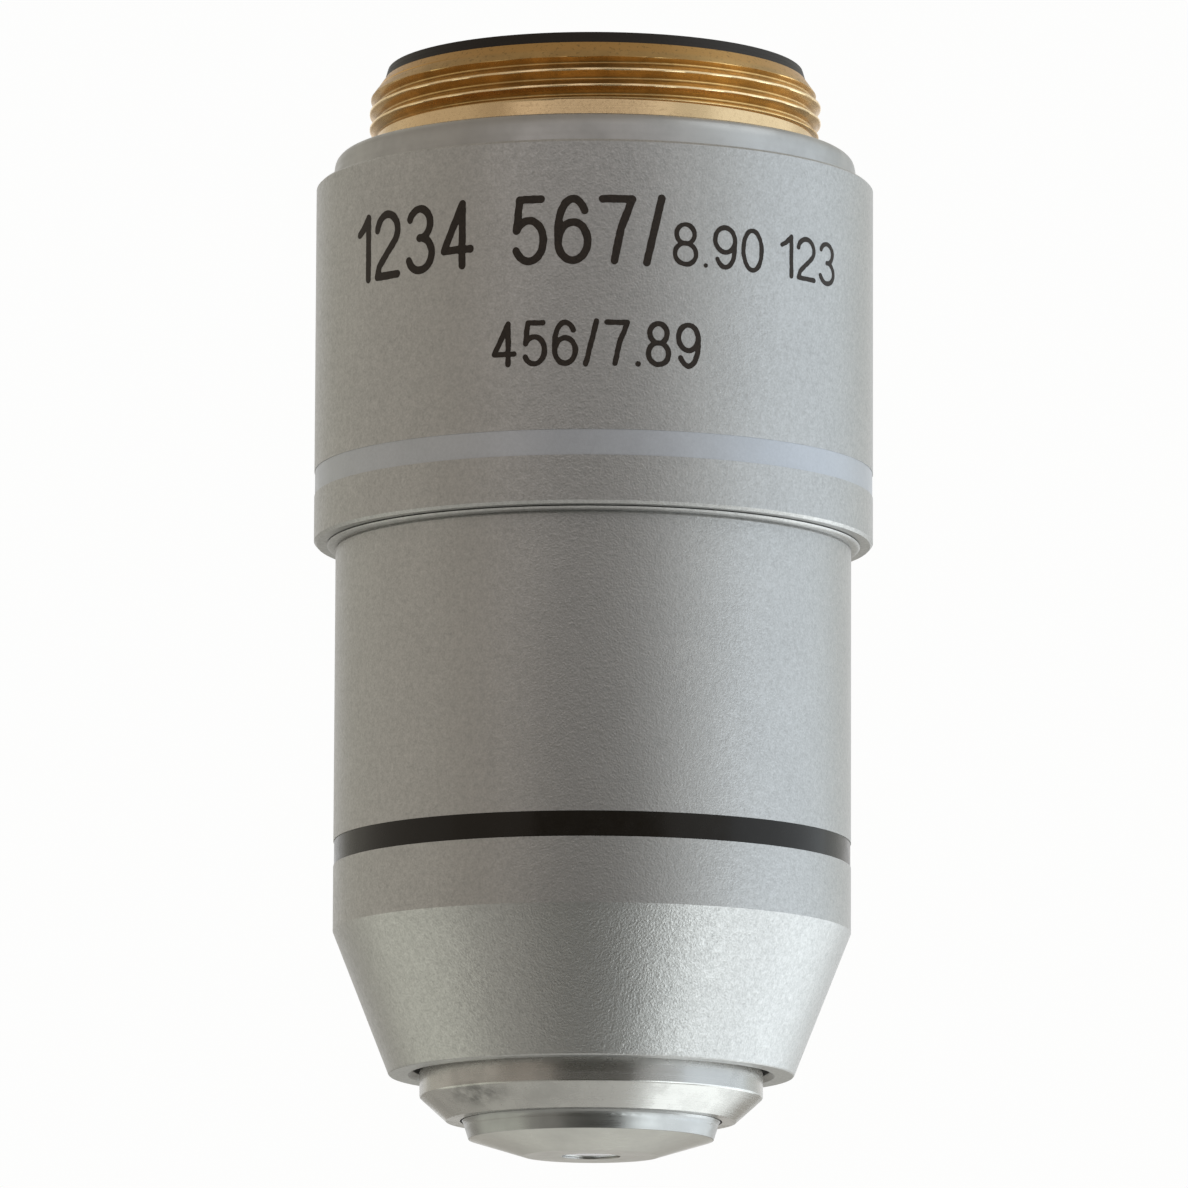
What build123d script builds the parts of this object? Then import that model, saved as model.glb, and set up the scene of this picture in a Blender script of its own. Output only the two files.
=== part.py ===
from build123d import *

import os
from math import atan, ceil, cos, pi, sin, sqrt

# Oil-immersion microscope objective with a spring-loaded nose.
#
# Lengths are in millimetres. The origin is the centre of the mounting shoulder, on the optical axis.
# +Z points up towards the mounting thread, so the front lens is at the lowest point and the heights
# below the shoulder are negative. Screwed joints are drawn as plain cylinders.

# Radial gaps of the fits
screw_fit = 0.03
guide_fit = 0.03
neck_fit = 0.08
collar_fit = 0.02
glass_fit = 0.03
slot_fit = 0.05
cement_gap = 0.01
enamel_gap = 0.01

# Brass ring with the mounting thread, from whose radius the other radii are stepped
thread_radius = 10.16
thread_wall = 2.06
thread_ring_height = 3.55
thread_lead_width = 0.71
thread_lead_length = 0.92
thread_runout = 0.20
neck_relief = 0.36
neck_height = 0.80
thread_mouth_bevel = 0.25
seat_collar_width = 0.10
seat_collar_height = 0.60
spigot_wall = 1.10
spigot_length = 5.00

# Black stop ring on the thread's end
stop_flange_height = 0.48
stop_flange_taper = 0.14
stop_spigot_length = 1.65
stop_mouth_wall = 0.67
stop_wall = 2.07
stop_land = 0.80
spanner_notch_width = 1.30
spanner_notch_depth = 0.35
spanner_notch_margin = 0.85

# Threaded ring that preloads the spring
seat_ring_drop = 0.40
seat_ring_height = 1.80
seat_ring_wall = 1.47
ring_slot_width = 1.00
ring_slot_depth = 0.60

# Main body with the mounting shoulder, the guide bore and the lip
guide_ledge = 0.13
body_wall = 2.17
body_length = 20.00
tube_wall = 1.17
lip_height = 1.70
flange_step = 0.74
flange_taper = 0.38
flange_height = 1.35
flange_bevel = 0.10
sleeve_thread_step = 0.60
thread_relief = 0.20

# Upper sleeve, which carries the lettering and the first band
sleeve_length = 16.10
sleeve_wall = 0.80
sleeve_top_bevel = 0.10
sleeve_foot_bevel_width = 0.12
sleeve_foot_bevel_height = 0.13
sleeve_thread_length = 4.65
sleeve_relief = 0.17

# Lower sleeve with the collar that it is held by and the cone
collar_length = 3.45
collar_foot = 0.03
collar_step = 0.15
collar_bevel_height = 0.10
joint_groove_depth = 0.09
joint_groove_height = 0.15
barrel_length = 17.35
barrel_wall = 0.99
barrel_thread_land = 0.07
cone_length = 6.32
cone_taper = 2.50
cone_wall = 1.15
rim_bevel = 0.05
rim_width = 0.82
rim_mouth_width = 0.20
rim_mouth_height = 0.25

# Enamel bands in their grooves
band_depth = 0.12
enamel_recess = 0.03
white_band_rise = 2.12
white_band_width = 1.13
black_band_rise = 2.89
black_band_width = 1.11

# Lens barrel, which slides in the main body
travel = 2.00
stop_depth = 33.00
shim_thickness = 0.30
land_span = 24.00
land_relief = 0.30
upper_land_height = 8.00
lower_land_height = 6.00
rear_tube_length = 5.60
rear_tube_wall = 0.80
neck_step = 0.60
neck_length = 3.00
nose_thread_step = 0.70
nose_thread_length = 4.00
stack_wall = 2.70
stack_seat_rise = 1.20
stack_seat_width = 0.90

# Nose cap
nose_wall_length = 6.15
nose_wall = 1.80
nose_edge_radius = 0.12
nose_chamfer_height = 1.05
nose_face_width = 0.63

# Front cell
cell_gap = 0.08
cell_flange_gap = 0.23
cell_flange_height = 0.50
cell_wall = 1.52
cell_cove_width = 0.13
cell_cove_height = 0.30
cell_cove_depth = 0.03
cell_draft = 0.16
cell_drop = 0.80
tip_cone_height = 0.74
tip_flat_radius = 3.00
cell_web = 1.45
cell_throat_radius = 1.95

# Front lens, a ball of glass ground flat below
front_lens_radius = 1.45
front_lens_window = 1.28
front_lens_recess = 0.08

# Each glass surface is given by a ratio: its radius divided by the radius of the glass's edge

# Meniscus, its cell and the ring that locks it
meniscus_cell_wall = 1.44
meniscus_front_ratio = 2.20
meniscus_back_ratio = 1.20
meniscus_thickness = 2.00
meniscus_gap = 0.44
meniscus_cell_height = 2.00
meniscus_lip = 0.35
lock_ring_height = 0.70
lock_ring_wall = 1.27

# Doublets: the rise is from the cell's foot to the glass, the land is the crown's edge
lower_cell_wall = 1.94
lower_rise = 0.60
lower_front_ratio = 2.15
lower_inner_ratio = 1.57
lower_back_ratio = 4.00
lower_crown_land = 0.48
lower_flint_thickness = 1.00

# Upper doublet, in a cell with room to be centred
upper_cell_play = 0.15
upper_cell_wall = 1.32
upper_rise = 0.40
upper_front_ratio = 2.75
upper_inner_ratio = 1.88
upper_back_ratio = 5.00
upper_crown_land = 0.69
upper_flint_thickness = 1.00

# Rear doublet, a thick meniscus that is hollow towards the rear
rear_cell_wall = 1.54
rear_rise = 0.70
rear_front_ratio = 1.80
rear_inner_ratio = 7.70
rear_hollow_ratio = 1.33
rear_crown_land = 1.26
rear_flint_thickness = 2.00

# Rings in the lens stack
cell_lip = 0.40
cell_margin = 0.30
spacer_wall = 0.85
lower_spacer_height = 1.00
middle_spacer_height = 8.70
pupil_stop_thickness = 0.30
pupil_radius = 2.20
upper_spacer_height = 1.90
lens_ring_height = 1.60
lens_ring_wall = 1.17

# Guide screw and centring screws
guide_drop = 3.50
guide_tip_radius = 0.90
guide_tip_length = 1.00
guide_tip_gap = 0.15
guide_thread_radius = 1.20
guide_slot_depth = 1.00
screw_slot_width = 0.35
screw_slot_depth = 0.50
screw_sink = 0.20
centring_screw_count = 3
centring_screw_radius = 0.70
centring_screw_rise = 2.80

# Return spring
wire_radius = 0.35
open_turns = 2.50
closed_turns = 1.00
closed_pitch = 0.74
spring_end_gap = 0.02
runs_per_turn = 24

# Radii of the housing, stepped from the thread outwards
thread_ring_bore = thread_radius - thread_wall
spigot_radius = thread_ring_bore + spigot_wall
seat_collar_radius = thread_radius + seat_collar_width
neck_radius = thread_radius - neck_relief
thread_tip_radius = thread_radius - thread_lead_width
guide_bore = thread_ring_bore + guide_ledge
tube_radius = guide_bore + tube_wall
body_radius = guide_bore + body_wall
sleeve_thread_radius = body_radius + sleeve_thread_step
barrel_bore = body_radius + screw_fit + barrel_thread_land
barrel_radius = barrel_bore + barrel_wall
cone_tip_radius = barrel_radius - cone_taper
rim_mouth_radius = cone_tip_radius - rim_bevel - rim_width
rim_bore = rim_mouth_radius - rim_mouth_width
collar_radius = barrel_radius + collar_step
collar_bore = collar_radius + collar_fit
sleeve_radius = collar_bore + sleeve_wall
flange_radius = sleeve_radius - flange_step
flange_top_radius = flange_radius - flange_taper

# Heights of the housing, from the shoulder down
sleeve_top = -flange_height
sleeve_foot = sleeve_top - sleeve_length
collar_top = sleeve_foot + collar_length
cone_top = sleeve_foot - barrel_length
cone_foot = cone_top - cone_length
rim_height = cone_foot - rim_bevel

# Radii of the sliding nose, from the guide bore inwards
land_radius = guide_bore - guide_fit
stack_bore = land_radius - stack_wall
stack_radius = stack_bore - glass_fit
rear_tube_radius = stack_bore + rear_tube_wall
neck_tube_radius = land_radius - neck_step
nose_thread_radius = neck_tube_radius - nose_thread_step
nose_bore = neck_tube_radius - nose_wall
cell_radius = nose_bore - cell_gap
cell_bore = cell_radius - cell_wall
meniscus_edge = cell_bore - meniscus_cell_wall - 2 * glass_fit
lower_edge = stack_radius - lower_cell_wall - glass_fit
upper_cell_radius = stack_bore - upper_cell_play
upper_edge = upper_cell_radius - upper_cell_wall - glass_fit
rear_edge = stack_radius - rear_cell_wall - glass_fit

# Heights of the sliding nose, from its stop
land_foot = -stop_depth
land_top = land_foot + land_span
lip_top = land_foot - shim_thickness
neck_foot = land_foot - neck_length
nose_thread_foot = neck_foot - nose_thread_length
nose_face = neck_foot - nose_wall_length - nose_chamfer_height
cell_flange_foot = nose_thread_foot - cell_flange_height
cell_foot = nose_face - cell_drop
tip_height = cell_foot - tip_cone_height
cell_floor = tip_height + cell_web
front_lens_centre = tip_height + front_lens_recess + sqrt(front_lens_radius**2 - front_lens_window**2)
meniscus_vertex = front_lens_centre + front_lens_radius + meniscus_gap
guide_height = land_top - guide_drop
guide_slot_floor = land_radius - guide_slot_depth
guide_angle = 90
centring_screw_angles = [30 + 360 / centring_screw_count * i for i in range(centring_screw_count)]


def bulge(edge, curve):
    """Depth of a glass surface between its vertex and its edge."""
    return edge * (curve - sqrt(curve**2 - 1))


# Heights of the lens stack, from its seat up
lower_crown_thickness = (
    lower_crown_land + bulge(lower_edge, lower_front_ratio) + bulge(lower_edge, lower_inner_ratio)
)
upper_crown_thickness = (
    upper_crown_land + bulge(upper_edge, upper_front_ratio) + bulge(upper_edge, upper_inner_ratio)
)
rear_crown_thickness = (
    rear_crown_land + bulge(rear_edge, rear_front_ratio) + bulge(rear_edge, rear_inner_ratio)
)
lower_cell_height = lower_rise + lower_crown_thickness + lower_flint_thickness + cell_margin
upper_cell_height = upper_rise + upper_crown_thickness + upper_flint_thickness + cell_margin
rear_glass_height = rear_crown_thickness + rear_flint_thickness + bulge(rear_edge, rear_hollow_ratio)
rear_cell_height = rear_rise + rear_glass_height + cell_margin
lower_cell_foot = nose_thread_foot + stack_seat_rise
lower_spacer_foot = lower_cell_foot + lower_cell_height
upper_cell_foot = lower_spacer_foot + lower_spacer_height
middle_spacer_foot = upper_cell_foot + upper_cell_height
pupil_stop_foot = middle_spacer_foot + middle_spacer_height
upper_spacer_foot = pupil_stop_foot + pupil_stop_thickness
rear_cell_foot = upper_spacer_foot + upper_spacer_height
lens_ring_foot = rear_cell_foot + rear_cell_height
centring_screw_height = upper_cell_foot + centring_screw_rise


def turned(*outline):
    """Solid of revolution about the optical axis, from (radius, height) corners."""
    corners = [(radius, 0, height) for radius, height in outline]
    return revolve(make_face(Polyline(*corners, close=True)), Axis.Z)


def ring(outer, inner, foot, height):
    top = foot + height
    return turned((inner, foot), (outer, foot), (outer, top), (inner, top))


def radial_rod(radius, start, end, height, angle):
    """Cylinder square to the optical axis, between two distances from it."""
    rod = Cylinder(radius, end - start, align=(Align.CENTER, Align.CENTER, Align.MIN))
    return Rot(0, 0, angle) * Pos(start, 0, height) * Rot(0, 90, 0) * rod


def slotted_ring(outer, inner, foot, height, slot_depth):
    """Threaded ring with a slot across its upper face for a spanner."""
    bar = Box(3 * outer, ring_slot_width, 2 * slot_depth)
    return ring(outer, inner, foot, height) - Pos(0, 0, foot + height) * bar


def slotted_screw(radius, start, end, height, angle):
    """Headless screw that lies square to the axis, with a slot in its outer end."""
    slot = Pos(end, 0, height) * Box(2 * screw_slot_depth, screw_slot_width, 3 * radius)
    return radial_rod(radius, start, end, height, angle) - Rot(0, 0, angle) * slot


def lens(edge, vertex, front_curve, thickness, back_curve):
    """Glass with its lowest point on the axis at vertex. A negative curve is a hollow surface."""
    back = vertex + thickness
    middle = edge / 2

    def drop(curve, radius):
        """How far the surface lies inside its vertex plane at a radius."""
        depth = edge * (abs(curve) - sqrt(curve**2 - (radius / edge) ** 2))
        return depth if curve > 0 else -depth

    def lower(radius):
        return (radius, 0, vertex + drop(front_curve, radius))

    def upper(radius):
        return (radius, 0, back - drop(back_curve, radius))

    outline = [
        ThreePointArc(lower(0), lower(middle), lower(edge)),
        Line(lower(edge), upper(edge)),
        ThreePointArc(upper(edge), upper(middle), upper(0)),
        Line(upper(0), lower(0)),
    ]
    return revolve(make_face(outline), Axis.Z)


def doublet(name, outer, foot, height, edge, rise, curves, thicknesses):
    """A crown glass, a flint glass cemented on it and the cell whose lip carries them."""
    front_curve, inner_curve, back_curve = curves
    crown_thickness, flint_thickness = thicknesses
    vertex = foot + rise
    seam = vertex + crown_thickness + cement_gap
    rim = vertex + bulge(edge, front_curve) - cement_gap
    bore = edge + glass_fit
    cell = turned(
        (edge - cell_lip, foot),
        (outer, foot),
        (outer, foot + height),
        (bore, foot + height),
        (bore, rim),
        (edge - cell_lip, rim - cell_lip / sqrt(front_curve**2 - 1)),
    )
    flint_back = flint_thickness - cement_gap
    return {
        f"{name}_doublet_cell": cell,
        f"{name}_doublet_crown": lens(edge, vertex, front_curve, crown_thickness, inner_curve),
        f"{name}_doublet_flint": lens(edge, seam, -inner_curve, flint_back, back_curve),
    }


def groove(outer, foot, width):
    return ring(outer + band_depth, outer - band_depth, foot, width)


def enamel(outer, foot, width):
    """Enamel that fills a groove to a little under the wall."""
    return ring(outer - enamel_recess, outer - band_depth + enamel_gap, foot, width)


def upper_sleeve():
    thread_bore = sleeve_thread_radius + screw_fit
    middle_bore = thread_bore + sleeve_relief
    thread_foot = sleeve_top - sleeve_thread_length - thread_relief
    body = turned(
        (thread_bore, sleeve_top),
        (sleeve_radius - sleeve_top_bevel, sleeve_top),
        (sleeve_radius, sleeve_top - sleeve_top_bevel),
        (sleeve_radius, sleeve_foot + sleeve_foot_bevel_height),
        (sleeve_radius - sleeve_foot_bevel_width, sleeve_foot),
        (collar_bore, sleeve_foot),
        (collar_bore, collar_top),
        (middle_bore, collar_top),
        (middle_bore, thread_foot),
        (thread_bore, thread_foot),
    )
    return body - groove(sleeve_radius, sleeve_foot + white_band_rise, white_band_width)


def lower_sleeve():
    """Narrow sleeve, screwed on the main body from below, with a hollow cone of even wall."""
    slope = cone_taper / cone_length
    wall_across = cone_wall / cos(atan(slope))
    hollow_top = cone_top - (barrel_radius - wall_across - barrel_bore) / slope
    hollow_foot = cone_top - (barrel_radius - wall_across - rim_bore) / slope
    thread_bore = body_radius + screw_fit
    thread_foot = -body_length - thread_relief
    collar_bottom = sleeve_foot - collar_foot
    joint_groove = collar_bottom - collar_bevel_height
    body = turned(
        (thread_bore, collar_top),
        (collar_radius, collar_top),
        (collar_radius, collar_bottom),
        (barrel_radius - joint_groove_depth, joint_groove),
        (barrel_radius, joint_groove - joint_groove_height),
        (barrel_radius, cone_top),
        (cone_tip_radius, cone_foot),
        (cone_tip_radius - rim_bevel, rim_height),
        (rim_mouth_radius, rim_height),
        (rim_bore, rim_height + rim_mouth_height),
        (rim_bore, hollow_foot),
        (barrel_bore, hollow_top),
        (barrel_bore, thread_foot),
        (thread_bore, thread_foot),
    )
    return body - groove(barrel_radius, cone_top + black_band_rise, black_band_width)


def main_body():
    counterbore = spigot_radius + screw_fit
    counterbore_foot = -spigot_length - thread_relief
    sleeve_thread_foot = sleeve_top - sleeve_thread_length
    lip_bore = neck_tube_radius + neck_fit
    tube_foot = lip_top - lip_height
    recess = seat_collar_radius + screw_fit
    body = turned(
        (counterbore, -seat_collar_height),
        (recess, -seat_collar_height),
        (recess, 0),
        (flange_top_radius - flange_bevel, 0),
        (flange_top_radius, -flange_bevel),
        (flange_radius, sleeve_top),
        (sleeve_thread_radius, sleeve_top),
        (sleeve_thread_radius, sleeve_thread_foot),
        (body_radius, sleeve_thread_foot),
        (body_radius, -body_length),
        (tube_radius, -body_length),
        (tube_radius, tube_foot),
        (lip_bore, tube_foot),
        (lip_bore, lip_top),
        (guide_bore, lip_top),
        (guide_bore, counterbore_foot),
        (counterbore, counterbore_foot),
    )
    hole_radius = guide_thread_radius + screw_fit
    return body - radial_rod(hole_radius, 0, sleeve_radius, guide_height, guide_angle)


def thread_ring():
    """Ring that screws into the body until its collar seats flush with the shoulder."""
    return turned(
        (thread_ring_bore, -spigot_length),
        (spigot_radius, -spigot_length),
        (spigot_radius, -seat_collar_height),
        (seat_collar_radius, -seat_collar_height),
        (seat_collar_radius, 0),
        (neck_radius, 0),
        (neck_radius, neck_height),
        (thread_radius, neck_height + thread_runout),
        (thread_radius, thread_ring_height - thread_lead_length),
        (thread_tip_radius, thread_ring_height),
        (thread_ring_bore + thread_mouth_bevel, thread_ring_height),
        (thread_ring_bore, thread_ring_height - thread_mouth_bevel),
    )


def rear_stop_ring():
    """Ring with a funnel mouth that keeps stray light out of the beam."""
    foot = thread_ring_height - stop_spigot_length
    top = thread_ring_height + stop_flange_height
    spigot = thread_ring_bore - screw_fit
    body = turned(
        (spigot - stop_wall, foot),
        (spigot, foot),
        (spigot, thread_ring_height),
        (thread_tip_radius, thread_ring_height),
        (thread_tip_radius - stop_flange_taper, top),
        (spigot - stop_mouth_wall, top),
        (spigot - stop_wall, foot + stop_land),
    )
    reach = thread_tip_radius - spanner_notch_margin
    notch = Box(2 * reach, spanner_notch_width, 2 * spanner_notch_depth)
    return body - Pos(0, 0, top) * notch


def spring_seat_ring():
    outer = thread_ring_bore - screw_fit
    bore = outer - seat_ring_wall
    return slotted_ring(outer, bore, -seat_ring_drop, seat_ring_height, ring_slot_depth)


def parfocal_shim():
    """Thin ring between the lens barrel and its stop, which sets the focus height."""
    return ring(land_radius, neck_tube_radius + neck_fit, lip_top, shim_thickness)


def guide_slot():
    """Milled slot along the barrel, as long as the travel and rounded at both ends."""
    half_width = guide_tip_radius + slot_fit
    end = radial_rod(half_width, guide_slot_floor, sleeve_radius, guide_height, guide_angle)
    depth = sleeve_radius - guide_slot_floor
    middle = Pos(guide_slot_floor + depth / 2, 0, guide_height - travel / 2)
    flat = Rot(0, 0, guide_angle) * middle * Box(depth, 2 * half_width, travel)
    return end + Pos(0, 0, -travel) * end + flat


def lens_barrel():
    """Sliding barrel with two guide lands, the rear tube and the bore for the lens stack."""
    relief = land_radius - land_relief
    upper_land_foot = land_top - upper_land_height
    lower_land_top = land_foot + lower_land_height
    rear_tube_top = land_top + rear_tube_length
    body = turned(
        (stack_bore, rear_tube_top),
        (rear_tube_radius, rear_tube_top),
        (rear_tube_radius, land_top),
        (land_radius, land_top),
        (land_radius, upper_land_foot),
        (relief, upper_land_foot - land_relief),
        (relief, lower_land_top + land_relief),
        (land_radius, lower_land_top),
        (land_radius, land_foot),
        (neck_tube_radius, land_foot),
        (neck_tube_radius, neck_foot),
        (nose_thread_radius, neck_foot),
        (nose_thread_radius, nose_thread_foot),
        (stack_bore - stack_seat_width, nose_thread_foot),
        (stack_bore - stack_seat_width, lower_cell_foot),
        (stack_bore, lower_cell_foot),
    )
    body = body - guide_slot()
    hole_radius = centring_screw_radius + screw_fit
    for angle in centring_screw_angles:
        body = body - radial_rod(hole_radius, 0, sleeve_radius, centring_screw_height, angle)
    return body


def nose_cap():
    """Bright tube whose broad chamfer shows below the cone."""
    thread_bore = nose_thread_radius + screw_fit
    corner = (neck_tube_radius, 0, neck_foot - nose_wall_length)
    outline = Polyline(
        (nose_bore, 0, nose_face),
        (nose_bore + nose_face_width, 0, nose_face),
        corner,
        (neck_tube_radius, 0, neck_foot),
        (thread_bore, 0, neck_foot),
        (thread_bore, 0, cell_flange_foot),
        (nose_bore, 0, cell_flange_foot),
        close=True,
    )
    section = make_face(outline)
    sharp = section.vertices().sort_by_distance(corner)[0]
    return revolve(fillet(sharp, nose_edge_radius), Axis.Z)


def front_cell():
    """Front mount: flange, body, conical tip and a cupped seat for the front lens."""
    seat = front_lens_radius + glass_fit
    aperture = front_lens_window + glass_fit
    middle = (aperture + seat) / 2
    flange = nose_thread_radius + screw_fit - cell_flange_gap
    wall = cell_radius - cell_cove_width
    cove_foot = (wall, 0, nose_face - cell_cove_height)
    cove_radius = (wall + cell_radius) / 2 - cell_cove_depth
    cove_middle = (cove_radius, 0, nose_face - cell_cove_height / 2)

    def cup(radius):
        return (radius, 0, front_lens_centre - sqrt(seat**2 - radius**2))

    outline = [
        Polyline(
            cup(aperture),
            (aperture, 0, tip_height),
            (tip_flat_radius, 0, tip_height),
            (wall - cell_draft, 0, cell_foot),
            cove_foot,
        ),
        ThreePointArc(cove_foot, cove_middle, (cell_radius, 0, nose_face)),
        Polyline(
            (cell_radius, 0, nose_face),
            (cell_radius, 0, cell_flange_foot),
            (flange, 0, cell_flange_foot),
            (flange, 0, nose_thread_foot),
            (cell_bore, 0, nose_thread_foot),
            (cell_bore, 0, cell_floor),
            (cell_throat_radius, 0, cell_floor),
            (seat, 0, cell_floor - cell_throat_radius + seat),
            cup(seat),
        ),
        ThreePointArc(cup(seat), cup(middle), cup(aperture)),
    ]
    return revolve(make_face(outline), Axis.Z)


def front_lens():
    ball = Pos(0, 0, front_lens_centre) * Sphere(front_lens_radius)
    side = 4 * front_lens_radius
    return ball - Pos(0, 0, tip_height + front_lens_recess - side / 2) * Box(side, side, side)


def meniscus():
    """Thick meniscus, its cell in the front cell's bore and the ring that locks it."""
    rim = meniscus_vertex - bulge(meniscus_edge, meniscus_front_ratio) - cement_gap
    bore = meniscus_edge + glass_fit
    lip = meniscus_edge - meniscus_lip
    outer = cell_bore - glass_fit
    top = cell_floor + meniscus_cell_height
    glass = lens(
        meniscus_edge,
        meniscus_vertex,
        -meniscus_front_ratio,
        meniscus_thickness,
        meniscus_back_ratio,
    )
    cell = turned(
        (lip, cell_floor), (outer, cell_floor), (outer, top), (bore, top), (bore, rim), (lip, rim)
    )
    lock_bore = outer - lock_ring_wall
    lock_ring = slotted_ring(outer, lock_bore, top, lock_ring_height, ring_slot_depth / 2)
    return {"meniscus_lens": glass, "meniscus_cell": cell, "front_lock_ring": lock_ring}


def spacer(foot, height):
    return ring(stack_radius, stack_radius - spacer_wall, foot, height)


def lens_stack():
    """What lies in the barrel's bore, from its seat up to the ring that clamps it."""
    return {
        **doublet(
            "lower",
            stack_radius,
            lower_cell_foot,
            lower_cell_height,
            lower_edge,
            lower_rise,
            (lower_front_ratio, lower_inner_ratio, lower_back_ratio),
            (lower_crown_thickness, lower_flint_thickness),
        ),
        "lower_spacer": spacer(lower_spacer_foot, lower_spacer_height),
        **doublet(
            "upper",
            upper_cell_radius,
            upper_cell_foot,
            upper_cell_height,
            upper_edge,
            upper_rise,
            (upper_front_ratio, upper_inner_ratio, upper_back_ratio),
            (upper_crown_thickness, upper_flint_thickness),
        ),
        "middle_spacer": spacer(middle_spacer_foot, middle_spacer_height),
        "pupil_stop": ring(stack_radius, pupil_radius, pupil_stop_foot, pupil_stop_thickness),
        "upper_spacer": spacer(upper_spacer_foot, upper_spacer_height),
        **doublet(
            "rear",
            stack_radius,
            rear_cell_foot,
            rear_cell_height,
            rear_edge,
            rear_rise,
            (rear_front_ratio, rear_inner_ratio, -rear_hollow_ratio),
            (rear_crown_thickness, rear_flint_thickness),
        ),
        "lens_retaining_ring": slotted_ring(
            stack_radius,
            stack_radius - lens_ring_wall,
            lens_ring_foot,
            lens_ring_height,
            ring_slot_depth,
        ),
    }


def guide_screw():
    """Screw whose plain tip runs in the barrel's slot and keeps the nose from turning."""
    tip_start = guide_slot_floor + guide_tip_gap
    tip_end = tip_start + guide_tip_length
    outer_end = body_radius - screw_sink
    shank = slotted_screw(guide_thread_radius, tip_end, outer_end, guide_height, guide_angle)
    return shank + radial_rod(guide_tip_radius, tip_start, tip_end, guide_height, guide_angle)


def centring_screws():
    """Small screws that push on the upper doublet's cell to centre it."""
    start = upper_cell_radius + cement_gap
    end = land_radius - screw_sink
    screws = [
        slotted_screw(centring_screw_radius, start, end, centring_screw_height, angle)
        for angle in centring_screw_angles
    ]
    return Compound(children=screws)


def return_spring():
    """Round wire in short runs along a helix, with a closed stretch at each end."""
    low = land_top + wire_radius + spring_end_gap
    high = -seat_ring_drop - wire_radius - spring_end_gap
    coil_radius = (rear_tube_radius + thread_ring_bore) / 2
    all_turns = open_turns + 2 * closed_turns
    closed_height = closed_pitch * closed_turns
    open_pitch = (high - low - 2 * closed_height) / open_turns

    def height(turn):
        if turn < closed_turns:
            return low + closed_pitch * turn
        if turn > closed_turns + open_turns:
            return high - closed_pitch * (all_turns - turn)
        return low + closed_height + open_pitch * (turn - closed_turns)

    points = []
    for step in range(ceil(all_turns * runs_per_turn) + 1):
        turn = step / runs_per_turn
        angle = 2 * pi * turn
        points.append((coil_radius * cos(angle), coil_radius * sin(angle), height(turn)))
    path = Polyline(*points)
    section = Plane(origin=path @ 0, z_dir=path % 0) * Circle(wire_radius)
    return sweep(section, path=path, transition=Transition.RIGHT)


def pieces():
    """Every piece by the name of its file: first the housing, then the sliding nose."""
    white_foot = sleeve_foot + white_band_rise
    black_foot = cone_top + black_band_rise
    return {
        "thread_ring": thread_ring(),
        "rear_stop_ring": rear_stop_ring(),
        "spring_seat_ring": spring_seat_ring(),
        "main_body": main_body(),
        "upper_sleeve": upper_sleeve(),
        "white_band": enamel(sleeve_radius, white_foot, white_band_width),
        "lower_sleeve": lower_sleeve(),
        "black_band": enamel(barrel_radius, black_foot, black_band_width),
        "parfocal_shim": parfocal_shim(),
        "guide_screw": guide_screw(),
        "return_spring": return_spring(),
        "lens_barrel": lens_barrel(),
        "nose_cap": nose_cap(),
        "front_cell": front_cell(),
        "front_lens": front_lens(),
        **meniscus(),
        **lens_stack(),
        "centring_screws": centring_screws(),
    }


os.makedirs("parts", exist_ok=True)
for name, solid in pieces().items():
    export_step(solid, f"parts/{name}.step")
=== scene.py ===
from math import cos, pi, radians, sin

import bmesh
import bpy
import numpy
from mathutils import Matrix, Vector, noise


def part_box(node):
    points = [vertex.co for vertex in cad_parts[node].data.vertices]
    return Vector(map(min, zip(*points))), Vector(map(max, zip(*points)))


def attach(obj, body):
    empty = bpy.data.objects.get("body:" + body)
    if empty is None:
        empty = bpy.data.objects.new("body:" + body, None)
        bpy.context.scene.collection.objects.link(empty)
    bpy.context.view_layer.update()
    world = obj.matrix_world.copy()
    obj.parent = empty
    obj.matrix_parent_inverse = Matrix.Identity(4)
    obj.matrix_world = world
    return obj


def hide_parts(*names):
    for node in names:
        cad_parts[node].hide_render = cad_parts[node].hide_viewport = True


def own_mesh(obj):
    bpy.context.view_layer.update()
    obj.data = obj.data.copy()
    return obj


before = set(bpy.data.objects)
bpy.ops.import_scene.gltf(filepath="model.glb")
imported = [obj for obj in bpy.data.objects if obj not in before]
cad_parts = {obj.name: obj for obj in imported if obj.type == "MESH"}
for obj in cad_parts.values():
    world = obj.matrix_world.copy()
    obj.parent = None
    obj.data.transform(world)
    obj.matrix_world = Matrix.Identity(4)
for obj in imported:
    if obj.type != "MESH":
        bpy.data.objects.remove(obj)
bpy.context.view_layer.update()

# Looks of an oil-immersion microscope objective, in metres and in the frame of its solids: the
# optical axis is Z, the mounting thread is up and the camera looks along +Y.

MM = 0.001

# Camera, fitted to the outline in the photograph
image_pixels = 1188
focal_pixels = 10820
sensor_width = 36
camera_pitch = radians(8.52)
camera_roll = radians(0.239)
camera_distance = 481.98 * MM
camera_shift_right = 0.034 * MM
camera_shift_up = 0.169 * MM
aim_height = -19.77 * MM
clip_near = 0.01
clip_far = 20

# Stage: a pale floor, and a dark card on the camera's side
floor_height = -0.35
floor_size = 6.0
floor_colour = (0.86, 0.86, 0.85)
card_distance = 0.28
card_left = -0.135
card_right = 0.17
card_top = 0.05
card_colour = (0.125, 0.12, 0.11)
stage_roughness = 0.9

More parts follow.
